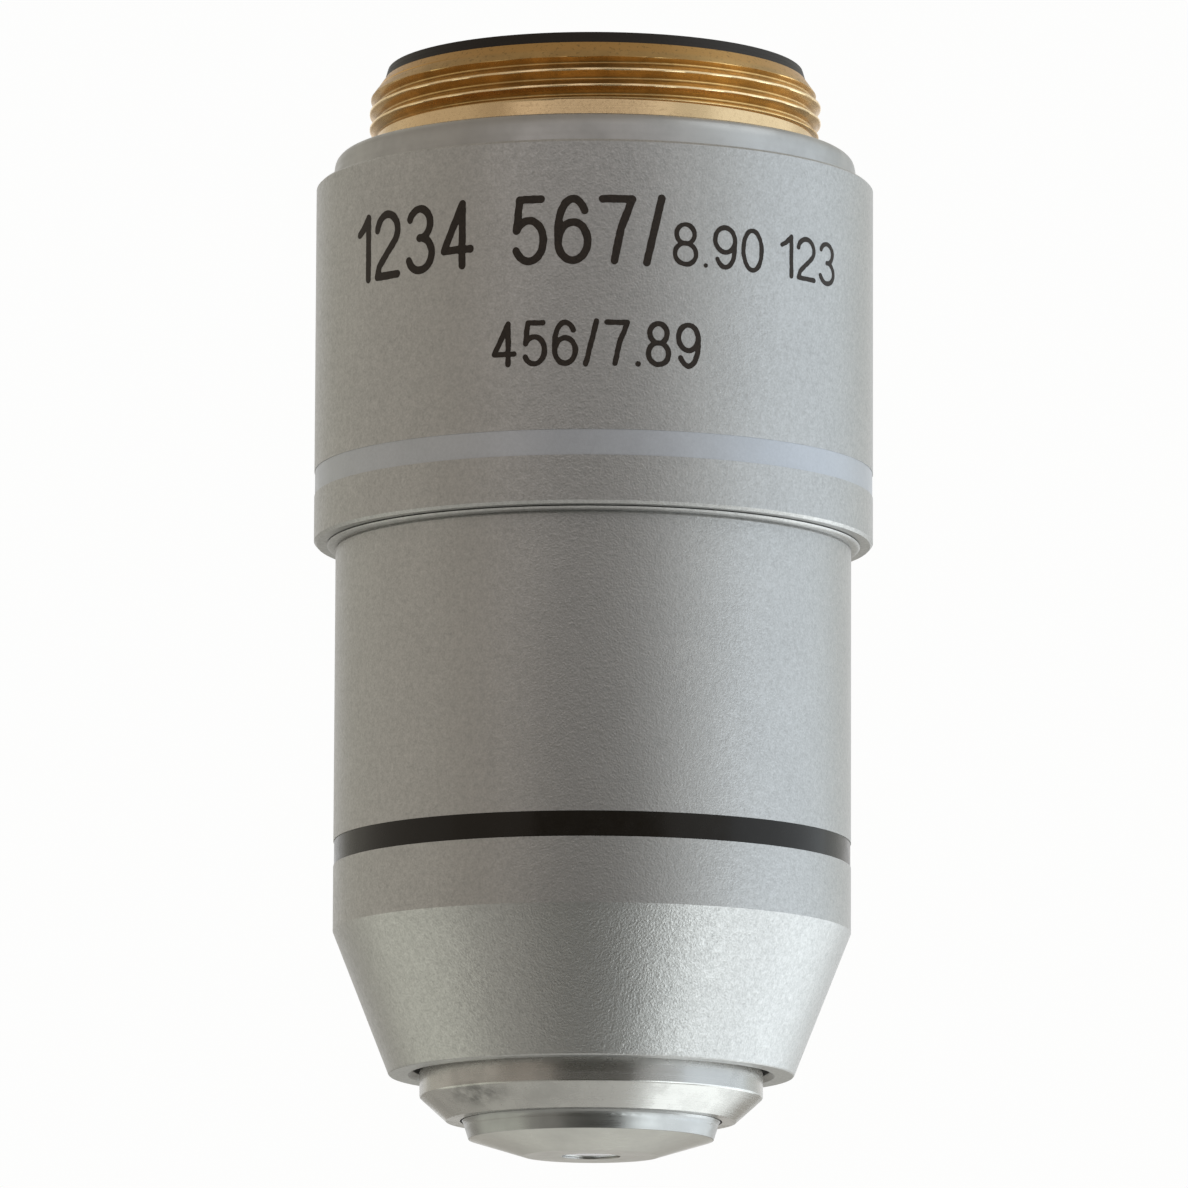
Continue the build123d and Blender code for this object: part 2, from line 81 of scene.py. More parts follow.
# Brightness of the room for red, green and blue. What its right and its back add grows between two
# values of a ray's direction along X or Y, and so does the backdrop that metal sees.
backdrop = (0.985, 0.985, 0.98)
room_level = (0.41, 0.37, 0.32)
room_right = (0.24, 0.31, 0.37)
room_back = (0.22, 0.24, 0.21)
side_reach = (0.1, 0.9)
backdrop_reach = (0.75, 0.97)

# Soft lamps: name, azimuth and elevation in degrees, then distance, width, height and radiance
lamps = [
    ("right_low", 95, -22, 0.42, 0.95, 0.26, (1.33, 1.47, 1.57)),
    ("right", 95, 5, 0.50, 0.60, 0.40, (0.35, 0.42, 0.50)),
    ("right_top", 80, 42, 0.35, 0.30, 0.20, (0.71, 0.76, 0.79)),
    ("right_front", 52, -33, 0.42, 0.22, 0.20, (1.18, 1.30, 1.34)),
    ("right_under", 128, -50, 0.28, 0.17, 0.24, (1.19, 1.29, 1.33)),
    ("left_low", -98, -27, 0.42, 0.44, 0.26, (0.50, 0.53, 0.45)),
    ("left", -95, 5, 0.50, 0.60, 0.40, (0.14, 0.14, 0.13)),
    ("back_low", 180, -40, 0.42, 0.26, 0.16, (0.15, 0.17, 0.15)),
    ("front_top", -2, 24, 0.22, 0.37, 0.10, (0.36, 0.36, 0.39)),
]

# Mounting thread and its ring. The crest and the root are shares of the pitch, the rounding is a
# share of the depth, and the phase is in turns.
thread_pitch = 0.7056 * MM
thread_depth = 0.44 * MM
thread_radius = 10.11 * MM
thread_phase = 0.595
thread_crest = 0.12
thread_root = 0.05
root_rounding = 0.16
thread_tip_radius = 9.45 * MM
thread_lead_length = 0.92 * MM
thread_lead_start = 3.05 * MM
thread_start = 0.93 * MM
thread_fade = 0.16 * MM
neck_radius = 9.80 * MM
neck_height = 0.89 * MM
ring_bore = 8.10 * MM
ring_bore_bevel = 0.25 * MM
spigot_radius = 9.20 * MM
collar_height = 0.60 * MM
thread_rows_per_pitch = 26
thread_columns = 320

# Brass of the ring, and the radii or heights between which one colour turns into another
# Painted light: the neck is painted a paler, lighter brass, as if lit from above
brass_neck_painted_light = (0.76, 0.55, 0.31)
# Painted highlight: a lighter brass along the crests of the thread
brass_crest_painted_highlight = (0.98, 0.74, 0.43)
brass_aged = (0.80, 0.51, 0.20)
brass_lead = (0.76, 0.43, 0.14)
brass_roughness = (0.20, 0.30)
crest_zone = (thread_radius - 0.05 * MM, thread_radius - 0.01 * MM)
neck_zone = (thread_start + 0.12 * MM, thread_start - 0.02 * MM)
lead_zone = (thread_lead_start, thread_lead_start + 0.15 * MM)
lead_part = 0.8
aged_shade = 0.7

# Dirt and painted shade on the brass: specks of dirt, most of them on surfaces that face up, and a
# painted shade in the root of the thread and on its upper flanks. A slope is the upward part of a
# surface's direction.
brass_dirt_and_shade = (0.25, 0.16, 0.065)
dirt_and_shade_roughness = 0.3
speck_size = 0.16 * MM
speck_zone = (0.52, 0.62)
speck_part = 0.8
speck_slope = (0.2, 0.6)
steep_specks = 0.2
root_zone = (thread_radius - 0.34 * MM, thread_radius - 0.22 * MM)
root_first = (thread_start, thread_start + 0.1 * MM)
root_last = (thread_lead_start, thread_lead_start + 0.1 * MM)
root_part = 0.30
flank_slope = (0.1, 0.35)
flank_part = 0.45

# Wall of the flange, radii and heights in millimetres
flange_outline = [
    (11.15, 0.004), (11.30, 0.004), (11.37, -0.02), (11.45, -0.07), (11.52, -0.14), (11.58, -0.22),
    (11.62, -0.32), (11.65, -0.45), (11.67, -0.60), (11.72, -1.33), (11.15, -1.33),
]

# Rounded edge of the collar under the upper sleeve, radii and heights in millimetres
collar_outline = [
    (11.42, -17.484), (11.87, -17.484), (11.88, -17.495), (11.865, -17.52), (11.82, -17.565),
    (11.77, -17.60), (11.70, -17.625), (11.60, -17.64), (11.42, -17.645),
]
ring_columns = 256

# Corners that stay sharp in the shading
ring_corner = radians(38)
wire_corner = radians(60)

# Blasted metal. broad_grains and cloud_grains are sizes in grains, and fine_part is the share of the
# finest noise in the speckle.
satin_colour = (0.44, 0.435, 0.425)
satin_roughness = 0.42
sleeve_grain = 0.10 * MM
grain_depth = 0.017 * MM
grain_contrast = 0.64
grain_gloss = 0.3
broad_grains = 2.6
fine_part = 0.6
cloud_grains = 30
cloud_contrast = 0.12

# Lower sleeve, whose grain is finer, and deeper on the cone below cone_top
cone_grain = 0.09 * MM
cone_top = -34.80 * MM
cone_blend = 0.4 * MM
cone_depth = 1.5

# Stains of turned metal, and the wall of the front cell, painted darker above an edge as painted shade
stain_zone = (0.42, 0.68)
stain_roughness = 0.08
wall_blend = 0.02 * MM
tip_wall_painted_shade = (-44.00 * MM, (0.34, 0.34, 0.335))

# Grey smudge on the left of the nose's bevel: centre and half sizes. It is full inside its core and
# broken up by streaks.
nose_smudge = ((-0.0051, -0.0051, -0.0425), (0.0021, 0.0025, 0.0006))
smudge_core = 0.4
smudge_part = 0.5
streak_size = 0.7 * MM
streak_zone = (0.36, 0.60)
streak_least = 0.1

# Glass, at both ends of its film's strength
glass_tints = ((0.95, 0.98, 0.99), (0.92, 0.96, 0.98))
glass_index = 1.52

# Return spring: a closed turn at each end, and the travel of the nose that it takes up
wire_radius = 0.35 * MM
closed_pitch = 0.74 * MM
open_turns = 2.5
closed_turns = 1.0
steps_per_turn = 48
wire_sides = 14

# Numerals, in plain figures that name nothing. Width and gap are shares of the unit that a row's
# length gives, and the margins round a figure are in cells of its grid. A cut leaves at least
# least_cut of a cell's side, and least_square stands in for the squared length of a dot. Each row
# holds its name and text, and in millimetres its start, end, baseline, height and stroke.
letter_lift = 0.010 * MM
figure_width = 0.59
narrow_widths = {"1": 0.36, "/": 0.36, ".": 0.13}
figure_gap = 0.11
paint_colour = (0.020, 0.014, 0.010)
ragged_size = 0.22 * MM
ragged_depth = 0.020 * MM
bow_steps = 40
cells_per_stroke = 6
margin_across = 2
margin_up = 4
least_cut = 0.04
least_square = 1e-18
figure_rows = [
    ("numerals_left", "1234", -12.39, -5.46, -6.93, 3.08, 0.345),
    ("numerals_middle", "567/", -3.72, 3.12, -6.93, 3.08, 0.345),
    ("numerals_right", "8.90", 3.45, 7.93, -6.90, 1.97, 0.21),
    ("numerals_far_right", "123", 8.89, 12.65, -6.90, 1.97, 0.21),
    ("numerals_below", "456/7.89", -4.57, 4.76, -11.42, 2.05, 0.24),
]

# Solids that are seen as they are, by their finish
solids = {
    "satin_chrome": ["upper_sleeve"],
    "cone_chrome": ["lower_sleeve"],
    "machined_chrome": ["main_body"],
    "nose_chrome": ["nose_cap"],
    "tip_chrome": ["front_cell"],
    "black_anodised": ["rear_stop_ring"],
    "white_enamel": ["white_band"],
    "black_enamel": ["black_band"],
    "inner_brass": ["lens_barrel", "parfocal_shim"],
    "steel": ["guide_screw", "centring_screws"],
    "optical_glass": [
        "front_lens", "meniscus_lens", "lower_doublet_crown", "lower_doublet_flint",
        "upper_doublet_crown", "upper_doublet_flint", "rear_doublet_crown", "rear_doublet_flint",
    ],
    "blackened_brass": [
        "spring_seat_ring", "meniscus_cell", "front_lock_ring", "pupil_stop", "lens_retaining_ring",
        "lower_doublet_cell", "upper_doublet_cell", "rear_doublet_cell", "lower_spacer",
        "middle_spacer", "upper_spacer",
    ],
}

# Ranges of a noise's usual values, wide and narrow
noise_most = (0.3, 0.7)
noise_middle = (0.35, 0.65)


def add(tree, kind, inputs=None, **settings):
    """New node with its settings, and with its inputs joined or set."""
    made = tree.nodes.new(kind)
    for key, value in settings.items():
        setattr(made, key, value)
    for key, value in (inputs or {}).items():
        if isinstance(value, bpy.types.NodeSocket):
            tree.links.new(value, made.inputs[key])
        else:
            made.inputs[key].default_value = value
    return made


def new_material(name):
    material = bpy.data.materials.new(name)
    material.use_nodes = True
    tree = material.node_tree
    return material, tree, tree.nodes["Principled BSDF"]


def join(tree, source, shader, socket):
    tree.links.new(source, shader.inputs[socket])


def calc(tree, operation, first, second=0.0, third=0.0):
    inputs = {0: first, 1: second, 2: third}
    return add(tree, "ShaderNodeMath", inputs, operation=operation).outputs[0]


def vector_calc(tree, operation, inputs, output=0):
    return add(tree, "ShaderNodeVectorMath", inputs, operation=operation).outputs[output]


def noise_at(tree, vector, size, detail=2.0, roughness=0.55):
    """Noise from 0 to 1 with features about as large as size, in metres."""
    inputs = {"Vector": vector, "Scale": 1 / size, "Detail": detail, "Roughness": roughness}
    return add(tree, "ShaderNodeTexNoise", inputs).outputs[0]


def spread(tree, value, zone, to=(0, 1), **settings):
    """The value moved from one range to another, and held at the ends of the new one."""
    inputs = {0: value, 1: zone[0], 2: zone[1], 3: to[0], 4: to[1]}
    return add(tree, "ShaderNodeMapRange", inputs, **settings).outputs[0]


def mix(tree, first, second, part):
    """A part of the first value and the rest of the second."""
    rest = calc(tree, "MULTIPLY", second, 1 - part)
    return calc(tree, "ADD", calc(tree, "MULTIPLY", first, part), rest)


def blend_colours(tree, factor, first, second):
    mixer = add(tree, "ShaderNodeMix", data_type="RGBA")
    for socket, value in ((0, factor), (6, first), (7, second)):
        if isinstance(value, bpy.types.NodeSocket):
            tree.links.new(value, mixer.inputs[socket])
        else:
            mixer.inputs[socket].default_value = value if socket == 0 else (*value, 1)
    return mixer.outputs[2]


def shade(colour, factor):
    return tuple(channel * factor for channel in colour)


def two_shades(tree, shader, factor, colour, first, last):
    """Base colour between two shades of one colour."""
    shades = blend_colours(tree, factor, shade(colour, first), shade(colour, last))
    join(tree, shades, shader, "Base Color")


def emboss(tree, shader, height, depth):
    bump = add(tree, "ShaderNodeBump", {"Height": height, "Distance": depth, "Strength": 1.0})
    join(tree, bump.outputs[0], shader, "Normal")


def place(tree):
    """Object coordinates, which are the frame's own, in metres."""
    return add(tree, "ShaderNodeTexCoord").outputs["Object"]


def upward(tree, vector):
    return add(tree, "ShaderNodeSeparateXYZ", {0: vector}).outputs[2]


def radius_and_height(tree):
    """Distance from the axis, and height, in metres."""
    x, y, z = add(tree, "ShaderNodeSeparateXYZ", {0: place(tree)}).outputs
    squares = calc(tree, "ADD", calc(tree, "MULTIPLY", x, x), calc(tree, "MULTIPLY", y, y))
    return calc(tree, "SQRT", squares), z


def turned_marks(tree, size, detail=3.0):
    """Noise that doesn't change round the axis."""
    radius, z = radius_and_height(tree)
    rings = add(tree, "ShaderNodeCombineXYZ", {0: radius, 2: z}).outputs[0]
    return noise_at(tree, rings, size, detail)


def blasted_metal(name, grain, deep_below=None):
    """Blasted and plated metal: a grain in tone and height, deeper below a height if one is given."""
    material, tree, shader = new_material(name)
    where = place(tree)
    fine = noise_at(tree, where, grain, detail=1.0)
    broad = noise_at(tree, where, broad_grains * grain, detail=1.0)
    cloud = noise_at(tree, where, cloud_grains * grain, detail=3.0)
    speckle = mix(tree, fine, broad, fine_part)
    swing = calc(tree, "SUBTRACT", speckle, 0.5)
    drift = calc(tree, "MULTIPLY", calc(tree, "SUBTRACT", cloud, 0.5), cloud_contrast)
    tone = calc(tree, "ADD", calc(tree, "MULTIPLY_ADD", swing, grain_contrast, 0.5), drift)
    two_shades(tree, shader, tone, satin_colour, first=0.5, last=1.5)
    join(tree, calc(tree, "MULTIPLY_ADD", swing, -grain_gloss, satin_roughness), shader, "Roughness")
    height = speckle
    if deep_below is not None:
        zone = (deep_below, deep_below - cone_blend)
        deeper = spread(tree, upward(tree, where), zone, to=(1.0, cone_depth))
        height = calc(tree, "MULTIPLY", speckle, deeper)
    emboss(tree, shader, height, grain_depth)
    shader.inputs["Metallic"].default_value = 1.0
    return material


def smudge_at(tree, centre, half_sizes):
    """Strength of a streaky smudge, which is 0 beyond its half sizes."""
    away = vector_calc(tree, "SUBTRACT", {0: place(tree), 1: centre})
    away = vector_calc(tree, "DIVIDE", {0: away, 1: half_sizes})
    away = vector_calc(tree, "LENGTH", {0: away}, "Value")
    near = spread(tree, away, (smudge_core, 1.0), to=(1, 0))
    streaks = noise_at(tree, place(tree), streak_size, detail=4.0, roughness=0.65)
    return calc(tree, "MULTIPLY", near, spread(tree, streaks, streak_zone, to=(streak_least, 1)))


def turned_metal(
    name, colour, roughness, groove, depth, stain=0.12, stain_size=2.2 * MM, wall=None, smudge=None
):
    """Lathe-turned metal: fine rings round the axis and soft stains.

    A wall is a height and the painted shade colour above it, and a smudge is its centre and its half
    sizes.
    """
    material, tree, shader = new_material(name)
    marks = turned_marks(tree, groove)
    clouds = noise_at(tree, place(tree), stain_size, detail=4.0, roughness=0.6)
    stained = spread(tree, clouds, stain_zone)
    # Painted shade on a wall: a darker colour above the given height
    if wall is not None:
        height, wall_shade_colour = wall
        above = spread(tree, upward(tree, place(tree)), (height - wall_blend, height))
        colour = blend_colours(tree, above, colour, wall_shade_colour)
    darker = calc(tree, "MULTIPLY_ADD", stained, -stain, 1.0)
    if smudge is not None:
        smudged = calc(tree, "MULTIPLY_ADD", smudge_at(tree, *smudge), -smudge_part, 1.0)
        darker = calc(tree, "MULTIPLY", darker, smudged)
    join(tree, vector_calc(tree, "SCALE", {0: colour, "Scale": darker}), shader, "Base Color")
    rough = spread(tree, marks, noise_most, to=(roughness - 0.03, roughness + 0.05))
    duller = calc(tree, "MULTIPLY", stained, stain_roughness)
    join(tree, calc(tree, "ADD", rough, duller), shader, "Roughness")
    emboss(tree, shader, marks, depth)
    shader.inputs["Metallic"].default_value = 1.0
    return material


def thread_dirt_and_shade(tree, radius, z):
    """Share of dirt and of painted shade on the brass ring."""
    slope = upward(tree, add(tree, "ShaderNodeTexCoord").outputs["Normal"])
    specks = noise_at(tree, place(tree), speck_size, detail=4.0, roughness=0.7)
    specks = spread(tree, specks, speck_zone, to=(0, speck_part))
    specks = calc(tree, "MULTIPLY", spread(tree, slope, speck_slope, to=(steep_specks, 1)), specks)
    # Painted shade: darker in the root of the thread and on its upper flanks, which face up
    root = spread(tree, radius, root_zone, to=(root_part, 0))
    root = calc(tree, "MULTIPLY", root, spread(tree, z, root_first))
    root = calc(tree, "MULTIPLY", root, spread(tree, z, root_last, to=(1, 0)))
    flank = spread(tree, slope, flank_slope, to=(0, flank_part))
    return calc(tree, "MAXIMUM", specks, calc(tree, "MAXIMUM", root, flank))


def thread_brass(name):
    """Turned brass, brown with age, with painted light on the neck and a painted highlight on the
    crests.
    """
    material, tree, shader = new_material(name)
    radius, z = radius_and_height(tree)
    marks = turned_marks(tree, 0.05 * MM)
    clouds = noise_at(tree, place(tree), 1.6 * MM, detail=4.0, roughness=0.6)
    clouds = spread(tree, clouds, noise_middle)
    aged = blend_colours(tree, clouds, brass_aged, shade(brass_aged, aged_shade))
    aged = blend_colours(tree, spread(tree, z, lead_zone, to=(0, lead_part)), aged, brass_lead)
    # Painted highlight on the crests of the thread, then painted light on the neck
    colour = blend_colours(tree, spread(tree, radius, crest_zone), aged, brass_crest_painted_highlight)
    colour = blend_colours(tree, spread(tree, z, neck_zone), colour, brass_neck_painted_light)
    # Dirt specks and painted shade make the brass darker and duller
    dirt_and_shade = thread_dirt_and_shade(tree, radius, z)
    join(tree, blend_colours(tree, dirt_and_shade, colour, brass_dirt_and_shade), shader, "Base Color")
    rough = spread(tree, marks, noise_most, to=brass_roughness)
    duller = calc(tree, "MULTIPLY", dirt_and_shade, dirt_and_shade_roughness)
    join(tree, calc(tree, "ADD", rough, duller), shader, "Roughness")
    emboss(tree, shader, marks, 0.002 * MM)
    shader.inputs["Metallic"].default_value = 1.0
    return material


def enamel(name, colour, roughness, coat, specular, metallic=0.0):
    """Fired enamel: faint ripples under a clear skin, with a little fading from place to place."""
    material, tree, shader = new_material(name)
    ripple = noise_at(tree, place(tree), 0.5 * MM)
    grain = noise_at(tree, place(tree), 0.12 * MM)
    fading = noise_at(tree, place(tree), 5 * MM, detail=3.0)
    tone = spread(tree, mix(tree, fading, grain, 0.6), noise_middle)
    two_shades(tree, shader, tone, colour, first=1.06, last=0.92)
    rough = spread(tree, ripple, noise_most, to=(roughness, roughness + 0.08))
    join(tree, rough, shader, "Roughness")
    emboss(tree, shader, ripple, 0.002 * MM)
    shader.inputs["Metallic"].default_value = metallic
    shader.inputs["Specular IOR Level"].default_value = specular
    shader.inputs["Coat Weight"].default_value = coat
    shader.inputs["Coat Roughness"].default_value = 0.08
    return material


def matt_black(name, colour, roughness):
    """Anodised or chemically blackened metal with a very fine grain."""
    material, tree, shader = new_material(name)
    grain = noise_at(tree, place(tree), 0.12 * MM, detail=3.0)
    two_shades(tree, shader, spread(tree, grain, noise_most), colour, first=0.8, last=1.25)
    marks = turned_marks(tree, 0.10 * MM, detail=2.0)
    rough = spread(tree, marks, noise_most, to=(roughness - 0.05, roughness + 0.05))
    join(tree, rough, shader, "Roughness")
    emboss(tree, shader, marks, 0.003 * MM)
    shader.inputs["Specular IOR Level"].default_value = 0.3
    return material


def optical_glass(name):
    """Polished glass with a faint film that varies in strength."""
    material, tree, shader = new_material(name)
    film = noise_at(tree, place(tree), 1.5 * MM)
    join(tree, spread(tree, film, noise_most, to=(0.0, 0.03)), shader, "Roughness")
    tint = blend_colours(tree, spread(tree, film, noise_most), *glass_tints)
    join(tree, tint, shader, "Base Color")
    shader.inputs["Transmission Weight"].default_value = 1.0
    shader.inputs["IOR"].default_value = glass_index
    return material


def numeral_paint(name):
    """Brown-black filling of the numerals, a little uneven."""
    material, tree, shader = new_material(name)
    grain = noise_at(tree, place(tree), 0.10 * MM, detail=3.0)
    two_shades(tree, shader, spread(tree, grain, noise_most), paint_colour, first=0.7, last=1.5)
    join(tree, spread(tree, grain, noise_most, to=(0.42, 0.58)), shader, "Roughness")
    shader.inputs["Specular IOR Level"].default_value = 0.25
    return material


def make_finishes():
    """Every finish of the objective, by its name."""
    recipes = {
        "satin_chrome": (blasted_metal, dict(grain=sleeve_grain)),
        "cone_chrome": (blasted_metal, dict(grain=cone_grain, deep_below=cone_top)),
        "machined_chrome": (turned_metal, dict(
            colour=(0.45, 0.445, 0.435), roughness=0.38, groove=0.12 * MM, depth=0.002 * MM,
        )),
        "nose_chrome": (turned_metal, dict(
            colour=(0.51, 0.50, 0.48), roughness=0.23, groove=0.06 * MM, depth=0.0012 * MM,
            stain=0.16, stain_size=1.6 * MM, smudge=nose_smudge,
        )),
        # The front cell's wall carries a painted shade above an edge
        "tip_chrome": (turned_metal, dict(
            colour=(0.60, 0.585, 0.56), roughness=0.28, groove=0.06 * MM, depth=0.0012 * MM,
            wall=tip_wall_painted_shade,
        )),
        "bare_brass": (thread_brass, {}),
        "inner_brass": (turned_metal, dict(
            colour=(0.72, 0.54, 0.30), roughness=0.30, groove=0.08 * MM, depth=0.003 * MM,
        )),
        "blackened_brass": (matt_black, dict(colour=(0.030, 0.027, 0.024), roughness=0.50)),
        "black_anodised": (matt_black, dict(colour=(0.012, 0.008, 0.005), roughness=0.50)),
        "steel": (turned_metal, dict(
            colour=(0.50, 0.50, 0.51), roughness=0.32, groove=0.08 * MM, depth=0.002 * MM,
        )),
        "spring_steel": (turned_metal, dict(
            colour=(0.42, 0.42, 0.43), roughness=0.30, groove=0.08 * MM, depth=0.002 * MM,
        )),
        "white_enamel": (enamel, dict(
            colour=(0.46, 0.475, 0.505), roughness=0.36, coat=0.0, specular=0.5, metallic=0.7,
        )),
        "black_enamel": (enamel, dict(
            colour=(0.009, 0.0065, 0.004), roughness=0.20, coat=0.10, specular=0.26,
        )),
        "optical_glass": (optical_glass, {}),
        "numeral_paint": (numeral_paint, {}),
    }
    return {name: make(name, **look) for name, (make, look) in recipes.items()}


def mesh_object(name, vertices, faces, material, smooth=True):
    mesh = bpy.data.meshes.new(name)
    mesh.from_pydata(vertices, [], faces)
    mesh.update()
    made = bpy.data.objects.new(name, mesh)
    bpy.context.scene.collection.objects.link(made)
    mesh.materials.append(material)
    for polygon in mesh.polygons:
        polygon.use_smooth = smooth
    return made


def sharpen(piece, angle):
    """Smooth shading that keeps corners sharper than the angle."""
    mesh = piece.data
    edges = bmesh.new()
    edges.from_mesh(mesh)
    for edge in edges.edges:
        edge.smooth = len(edge.link_faces) == 2 and edge.calc_face_angle() < angle
    edges.to_mesh(mesh)
    edges.free()


def thread_form(turn):
    """Height of the thread form, from 0 at the root to 1 at the crest, for a place in turns."""
    across = abs(2 * (turn % 1.0) - 1)
    rise = min(max((across - thread_root) / (1 - thread_root - thread_crest), 0.0), 1.0)
    if rise < root_rounding:
        rise = (root_rounding + rise * rise / root_rounding) / 2
    return rise


def thread_radius_at(height, turn, top):
    """Outer radius of the ring, where the thread runs out into the neck and leads in at the top."""
    form = thread_radius - thread_depth * (1 - thread_form(height / thread_pitch - turn + thread_phase))
    start = min(max((height - thread_start) / thread_fade, 0.0), 1.0)
    radius = neck_radius + (form - neck_radius) * start
    lead = thread_tip_radius + (top - height) * (thread_radius - thread_tip_radius) / thread_lead_length
    return min(radius, lead)


def lathe(name, outline, columns, material):
    """Closed ring round the axis; outline gives its radii and heights for a place in turns."""
    vertices = []
    for column in range(columns):
        angle = 2 * pi * column / columns
        vertices += [(r * cos(angle), r * sin(angle), h) for r, h in outline(column / columns)]
    rows = len(vertices) // columns
    faces = []
    for column in range(columns):
        here = column * rows
        there = (column + 1) % columns * rows
        for row in range(rows):
            after = (row + 1) % rows
            faces.append((here + row, there + row, there + after, here + after))
    made = mesh_object(name, vertices, faces, material)
    sharpen(made, ring_corner)
    return made


def threaded_ring(material):
    """Brass ring with its true right-hand thread."""
    low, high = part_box("thread_ring")
    top = high.z
    collar = high.x
    step = thread_pitch / thread_rows_per_pitch
    count = int((top - thread_start) / step)
    heights = [thread_start + (top - thread_start) * i / count for i in range(count + 1)]
    fixed_below = [
        (ring_bore, low.z),
        (spigot_radius, low.z),
        (spigot_radius, -collar_height),
        (collar, -collar_height),
        (collar, 0.0),
        (neck_radius, 0.0),
        (neck_radius, neck_height),
    ]
    fixed_above = [(ring_bore + ring_bore_bevel, top), (ring_bore, top - ring_bore_bevel)]

    def outline(turn):
        return fixed_below + [(thread_radius_at(h, turn, top), h) for h in heights] + fixed_above

    return lathe("threaded_ring", outline, thread_columns, material)


def plain_ring(name, millimetres, material):
    """Closed ring with one outline all round, listed from its top down."""
    outline = [(radius * MM, height * MM) for radius, height in reversed(millimetres)]
    return lathe(name, lambda turn: outline, ring_columns, material)


def coil_spring(material):
    """Round wire in a coil, which stands between its seat ring and the land of the lens barrel."""
    low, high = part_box("return_spring")
    coil_radius = (high.x - low.x) / 2 - wire_radius
    first, last = low.z + wire_radius, high.z - wire_radius
    all_turns = open_turns + 2 * closed_turns
    open_pitch = (last - first - 2 * closed_pitch * closed_turns) / open_turns

    def centre(turn):
        end = min(turn, all_turns - turn)
        rise = closed_pitch * min(end, closed_turns) + open_pitch * max(end - closed_turns, 0)
        height = first + rise if turn < all_turns / 2 else last - rise
        return Vector((coil_radius * cos(2 * pi * turn), coil_radius * sin(2 * pi * turn), height))

    count = int(all_turns * steps_per_turn)
    vertices = []
    for step in range(count + 1):
        turn = all_turns * step / count
        middle = centre(turn)
        outward = Vector((cos(2 * pi * turn), sin(2 * pi * turn), 0))
        for side in range(wire_sides):
            angle = 2 * pi * side / wire_sides
            vertices.append(middle + wire_radius * (outward * cos(angle) + Vector((0, 0, sin(angle)))))
    faces = []
    for step in range(count):
        here, there = step * wire_sides, (step + 1) * wire_sides
        for side in range(wire_sides):
            after = (side + 1) % wire_sides
            faces.append((here + after, here + side, there + side, there + after))
    faces.append(tuple(range(wire_sides)))
    faces.append(tuple(reversed(range(count * wire_sides, (count + 1) * wire_sides))))
    made = mesh_object("coil_spring", vertices, faces, material)
    sharpen(made, wire_corner)
    return made


def figure_strokes(figure):
    """Width of a figure, and its strokes through a box from 0 to 1 both ways."""

    def bow(x, y, across, up, first, last):
        angles = [radians(first + (last - first) * i / bow_steps) for i in range(bow_steps + 1)]
        return [(x + across * cos(a), y + up * sin(a)) for a in angles]

    six = [bow(0.5, 0.5, 0.5, 0.5, 38, 180) + [(0.0, 0.31)], bow(0.5, 0.31, 0.5, 0.31, 0, 360)]
    strokes = {
        "0": [bow(0.5, 0.5, 0.5, 0.5, 0, 360)],
        "1": [[(0.0, 0.76), (0.42, 0.83), (1.0, 1.0), (1.0, 0.0)]],
        "2": [bow(0.5, 0.73, 0.5, 0.27, 172, -38) + [(0.10, 0.17), (0.0, 0.0), (1.0, 0.0)]],
        "3": [bow(0.49, 0.76, 0.44, 0.24, 160, -90), bow(0.5, 0.265, 0.5, 0.265, 90, -160)],
        "4": [[(1.0, 0.26), (0.0, 0.26), (0.70, 1.0), (0.70, 0.0)]],
        "5": [[(0.92, 1.0), (0.18, 1.0), (0.07, 0.50)], bow(0.5, 0.33, 0.5, 0.33, 149, -152)],
        "6": six,
        "7": [[(0.0, 1.0), (1.0, 1.0), (0.62, 0.52), (0.40, 0.0)]],
        "8": [bow(0.5, 0.76, 0.43, 0.24, 0, 360), bow(0.5, 0.265, 0.5, 0.265, 0, 360)],
        "9": [[(1 - x, 1 - y) for x, y in stroke] for stroke in six],
        "/": [[(0.0, -0.02), (1.0, 1.03)]],
        ".": [[(0.5, 0.0), (0.5, 0.0)]],
    }
    return narrow_widths.get(figure, figure_width), strokes[figure]


def place_strokes(strokes, left, baseline, width, height, stroke):
    """Strokes moved from their box of 1 by 1 to the box of a figure, edges included."""
    across = width - stroke
    up = height - stroke
    return [
        [(left + stroke / 2 + x * across, baseline + stroke / 2 + y * up) for x, y in line]
        for line in strokes
    ]


def stroke_field(strokes, half_width, xs, ys):
    """Distance from the edge of the strokes at each point of a grid, less than 0 inside."""
    x, y = numpy.meshgrid(xs, ys, indexing="ij")
    nearest = numpy.full(x.shape, numpy.inf)
    for stroke in strokes:
        for (x0, y0), (x1, y1) in zip(stroke, stroke[1:]):
            along_x, along_y = x1 - x0, y1 - y0
            length = max(along_x ** 2 + along_y ** 2, least_square)
            part = numpy.clip(((x - x0) * along_x + (y - y0) * along_y) / length, 0, 1)
            away = numpy.hypot(x - x0 - part * along_x, y - y0 - part * along_y)
            nearest = numpy.minimum(nearest, away)
    for i, across in enumerate(xs):
        for j, up in enumerate(ys):
            spot = Vector((across, up, half_width)) / ragged_size
            nearest[i, j] += ragged_depth * noise.noise(spot)
    return nearest - half_width


